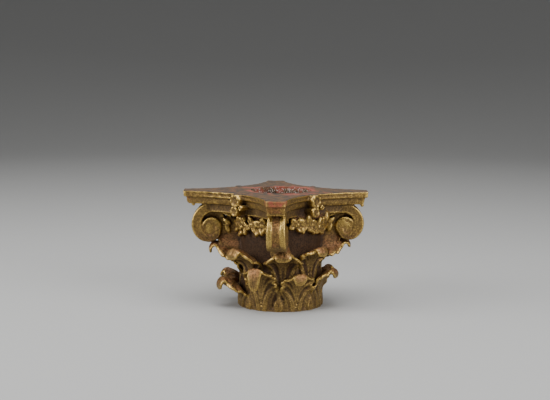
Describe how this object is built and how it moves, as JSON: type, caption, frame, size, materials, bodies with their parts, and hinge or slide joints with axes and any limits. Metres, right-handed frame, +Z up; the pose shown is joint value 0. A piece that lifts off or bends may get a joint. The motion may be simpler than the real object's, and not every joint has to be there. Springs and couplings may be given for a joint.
{
  "type": "column capital",
  "caption": "Small cast capital: hollow bell wrapped by two rows of acanthus leaves, corner scrolls under a concave-sided top slab, round hole through.",
  "frame": {"origin": "centre of the top slab's outline, at the level of the base ring's underside; the bell and its hole stand 3.2 mm off it towards +X +Y, as cast", "axes": "+Z up; the slab's hollowed faces look along +X, -X, +Y and -Y, and the corner scrolls stand on the diagonals"},
  "size_m": [0.0854, 0.0854, 0.069],
  "materials": {
    "gilt_bronze": "cast bronze, gilded, the gilding worn to dark brown patina in the hollows, with red-brown patches on the top"
  },
  "bodies": {
    "root": {"capital": "gilt_bronze"}
  },
  "joints": []
}
